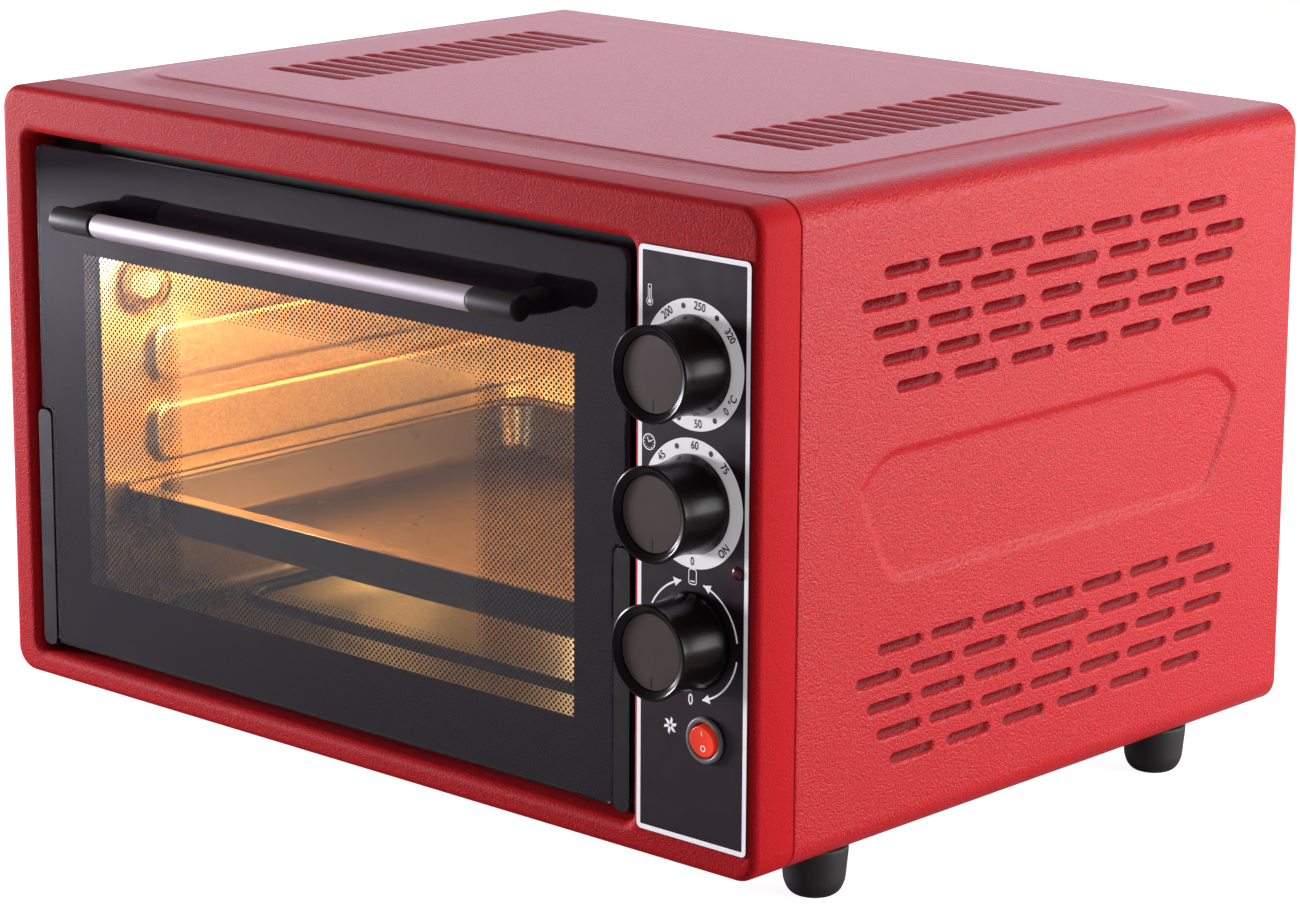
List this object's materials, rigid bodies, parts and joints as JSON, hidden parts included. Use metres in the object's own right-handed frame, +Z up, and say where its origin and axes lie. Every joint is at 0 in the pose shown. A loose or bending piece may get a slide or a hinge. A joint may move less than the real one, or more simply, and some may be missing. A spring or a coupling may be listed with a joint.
{
  "type": "mini oven",
  "caption": "Countertop mini oven with a drop-down glazed door, bar handle, dials, rocker switch, vented sheet metal body on feet, and an oven chamber with tray, heaters and fan.",
  "frame": {"origin": "on the floor under the middle of the whole object's box", "axes": "+X to the right seen from the front, +Y from the front to the back, +Z up; the door opens towards -Y"},
  "size_m": [0.52, 0.4354, 0.339],
  "materials": {
    "red_paint": "fine wrinkle coat",
    "black_glass": "gloss, printed black with a clear dotted window",
    "clear_glass": "clear",
    "galvanised": "galvanised sheet",
    "black_steel": "satin black",
    "enamel": "dark enamel",
    "aluminium": "satin",
    "black_plastic": "satin black",
    "knob_plastic": "gloss black",
    "disc_brown": "satin brown-grey",
    "label_film": "printed film, black with white lines",
    "rubber": "matt",
    "steel": "zinc plated",
    "heater_steel": "dark oxidised tube",
    "red_lens": "translucent red",
    "rocker_red": "translucent orange-red",
    "grey_plastic": "satin grey",
    "ceramic": "matt ceramic"
  },
  "bodies": {
    "oven_body": {"outer_casing": "red_paint", "front_bezel": "red_paint", "rear_panel": "galvanised", "base_plate": "galvanised", "chamber_shell": "galvanised", "control_label": "label_film", "foot_front_left": "rubber", "foot_front_right": "rubber", "foot_rear_left": "rubber", "foot_rear_right": "rubber", "base_screw_front_left": "steel", "base_screw_front_right": "steel", "base_screw_rear_left": "steel", "base_screw_rear_right": "steel", "lower_heater": "heater_steel", "upper_heater": "heater_steel", "lamp_lens": "clear_glass", "lamp_bulb": "clear_glass", "lamp_holder": "ceramic", "thermostat_sensor": "steel", "fan_cover": "galvanised", "fan_motor": "black_steel", "hinge_pin_left": "steel", "hinge_pin_right": "steel", "hinge_bracket_left": "steel", "hinge_bracket_right": "steel", "thermostat_body": "ceramic", "timer_body": "steel", "selector_body": "grey_plastic", "pilot_light": "red_lens", "fan_switch_housing": "grey_plastic", "lead_gland": "black_plastic"},
    "door": {"door_glass_outer": "black_glass", "door_inner_frame": "black_steel", "door_glass_inner": "clear_glass", "handle_tube": "aluminium", "handle_end_left": "black_plastic", "handle_end_right": "black_plastic", "handle_screw_left": "steel", "handle_screw_right": "steel", "hinge_arm_left": "black_steel", "hinge_arm_right": "black_steel"},
    "thermostat_dial": {"thermostat_knob": "knob_plastic", "thermostat_knob_disc": "disc_brown", "thermostat_shaft": "steel"},
    "timer_dial": {"timer_knob": "knob_plastic", "timer_knob_disc": "disc_brown", "timer_shaft": "steel"},
    "selector_dial": {"selector_knob": "knob_plastic", "selector_knob_disc": "disc_brown", "selector_shaft": "steel"},
    "fan_rocker": {"fan_switch_rocker": "rocker_red"},
    "fan": {"fan_wheel": "galvanised", "fan_shaft": "steel"},
    "tray": {"baking_tray": "enamel"}
  },
  "joints": [
    {"name": "door_hinge", "type": "hinge", "parent": "oven_body", "child": "door", "pos_m": [-0.0293, -0.17925, 0.0465], "axis": [1, 0, 0], "range_deg": [0, 90]},
    {"name": "thermostat_turn", "type": "hinge", "parent": "oven_body", "child": "thermostat_dial", "pos_m": [0.2214, -0.18725, 0.261], "axis": [0, 1, 0], "range_deg": [-47, 233]},
    {"name": "timer_turn", "type": "hinge", "parent": "oven_body", "child": "timer_dial", "pos_m": [0.2214, -0.18725, 0.1975], "axis": [0, 1, 0], "range_deg": [-45, 270]},
    {"name": "selector_turn", "type": "hinge", "parent": "oven_body", "child": "selector_dial", "pos_m": [0.2214, -0.18725, 0.134], "axis": [0, 1, 0], "continuous": true},
    {"name": "fan_switch_rock", "type": "hinge", "parent": "oven_body", "child": "fan_rocker", "pos_m": [0.2306, -0.18825, 0.089], "axis": [1, 0, 0], "range_deg": [-16, 0]},
    {"name": "fan_spin", "type": "hinge", "parent": "oven_body", "child": "fan", "pos_m": [-0.0293, 0.17475, 0.1751], "axis": [0, 1, 0], "continuous": true},
    {"name": "tray_slide", "type": "slide", "parent": "oven_body", "child": "tray", "axis": [0, 1, 0], "range_m": [-0.004, 0.012]}
  ]
}
